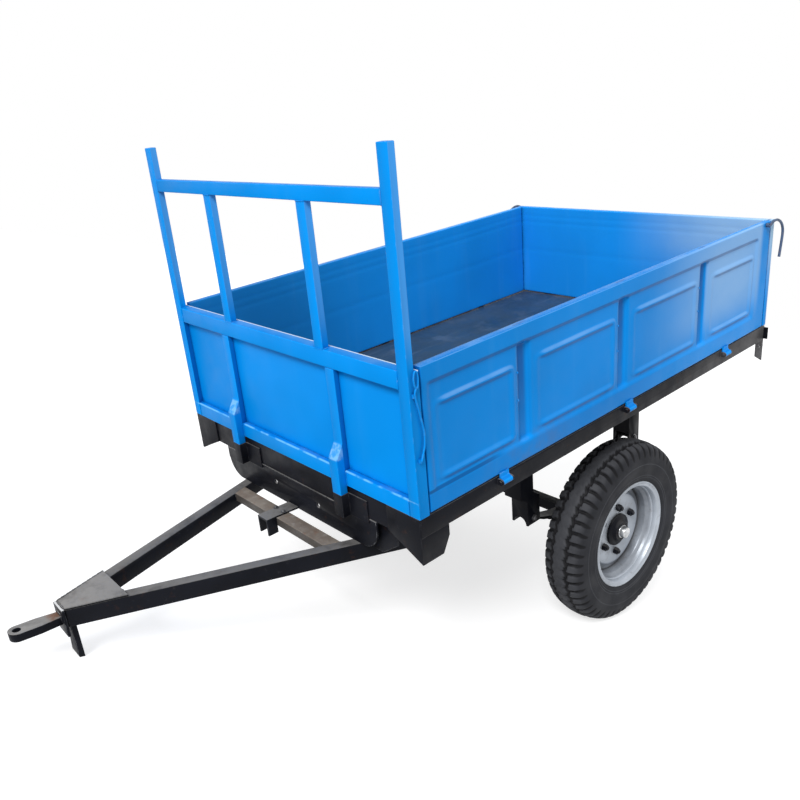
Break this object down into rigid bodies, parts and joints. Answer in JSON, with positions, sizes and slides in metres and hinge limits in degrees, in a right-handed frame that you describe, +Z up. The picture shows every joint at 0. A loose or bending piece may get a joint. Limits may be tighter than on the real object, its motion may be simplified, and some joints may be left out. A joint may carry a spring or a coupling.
{
  "type": "two-wheeled drop-side farm trailer",
  "caption": "Two-wheeled farm trailer with a low drop-side bed, tall headboard frame, splayed drawbar with a hitch eye, and leaf springs, parked on its stand leg.",
  "frame": {"origin": "on the floor, under the centre of the parked trailer's outer box", "axes": "+X forward to the hitch, +Y to the trailer's left, +Z up"},
  "size_m": [3.0762, 1.398, 1.7029],
  "materials": {
    "blue_paint": "glossy sprayed blue enamel with dust and slight ripples",
    "black_paint": "satin black chassis paint, dusty on top faces",
    "floor_steel": "dark blue-grey sheet floor, scuffed",
    "bare_steel": "brown-grey unpainted mill steel",
    "rim_silver": "silver-grey wheel paint",
    "tyre_rubber": "dusty black rubber"
  },
  "bodies": {
    "chassis": {"axle_beam": "black_paint", "chassis_rail_left": "black_paint", "chassis_rail_right": "black_paint", "corner_bracket_front_left": "black_paint", "corner_bracket_front_right": "black_paint", "corner_bracket_rear_left": "black_paint", "corner_bracket_rear_right": "black_paint", "cross_beam": "bare_steel", "cross_bearer_1": "black_paint", "cross_bearer_2": "black_paint", "cross_bearer_3": "black_paint", "cross_bracket": "black_paint", "drawbar_left": "black_paint", "drawbar_right": "black_paint", "floor_plate": "floor_steel", "front_latch_left": "blue_paint", "front_latch_right": "blue_paint", "front_member": "black_paint", "front_plate": "black_paint", "headboard_bar_left": "blue_paint", "headboard_bar_right": "blue_paint", "headboard_foot_rail": "blue_paint", "headboard_mid_rail": "blue_paint", "headboard_panel": "blue_paint", "headboard_post_left": "blue_paint", "headboard_post_right": "blue_paint", "headboard_stake_left": "blue_paint", "headboard_stake_right": "blue_paint", "headboard_top_rail": "blue_paint", "hitch_tongue": "black_paint", "leaf_spring_left": "black_paint", "leaf_spring_right": "black_paint", "nose_gusset": "black_paint", "nose_plate": "black_paint", "rear_member": "black_paint", "side_rail_left": "black_paint", "side_rail_right": "black_paint", "spring_clamp_left": "black_paint", "spring_clamp_right": "black_paint", "spring_hanger_front_left": "black_paint", "spring_hanger_front_right": "black_paint", "spring_hanger_rear_left": "black_paint", "spring_hanger_rear_right": "black_paint", "spring_shackle_left": "black_paint", "spring_shackle_right": "black_paint", "stake_pocket_left": "black_paint", "stake_pocket_right": "black_paint", "stand_leg": "black_paint"},
    "wheel_left": {"tyre_left": "tyre_rubber", "rim_left": "rim_silver", "hub_left": "black_paint"},
    "side_board_left": {"side_board_left": "blue_paint", "tail_hook_left": "blue_paint"},
    "wheel_right": {"tyre_right": "tyre_rubber", "rim_right": "rim_silver", "hub_right": "black_paint"},
    "side_board_right": {"side_board_right": "blue_paint", "tail_hook_right": "blue_paint"},
    "tailgate": {"tailgate": "blue_paint"}
  },
  "joints": [
    {"name": "wheel_left_spin", "type": "hinge", "parent": "chassis", "child": "wheel_left", "pos_m": [-0.64801, 0.614, 0.375], "axis": [0, 1, 0], "continuous": true},
    {"name": "wheel_right_spin", "type": "hinge", "parent": "chassis", "child": "wheel_right", "pos_m": [-0.64801, -0.614, 0.375], "axis": [0, 1, 0], "continuous": true},
    {"name": "side_board_left_hinge", "type": "hinge", "parent": "chassis", "child": "side_board_left", "pos_m": [-0.47634, 0.685, 0.9028], "axis": [-0.9532, 0, 0.3024], "range_deg": [0, 170]},
    {"name": "side_board_right_hinge", "type": "hinge", "parent": "chassis", "child": "side_board_right", "pos_m": [-0.47634, -0.685, 0.9028], "axis": [0.9532, 0, -0.3024], "range_deg": [0, 170]},
    {"name": "tailgate_hinge", "type": "hinge", "parent": "chassis", "child": "tailgate", "pos_m": [-1.50577, 0, 1.22943], "axis": [0, -1, 0], "range_deg": [0, 178]}
  ]
}
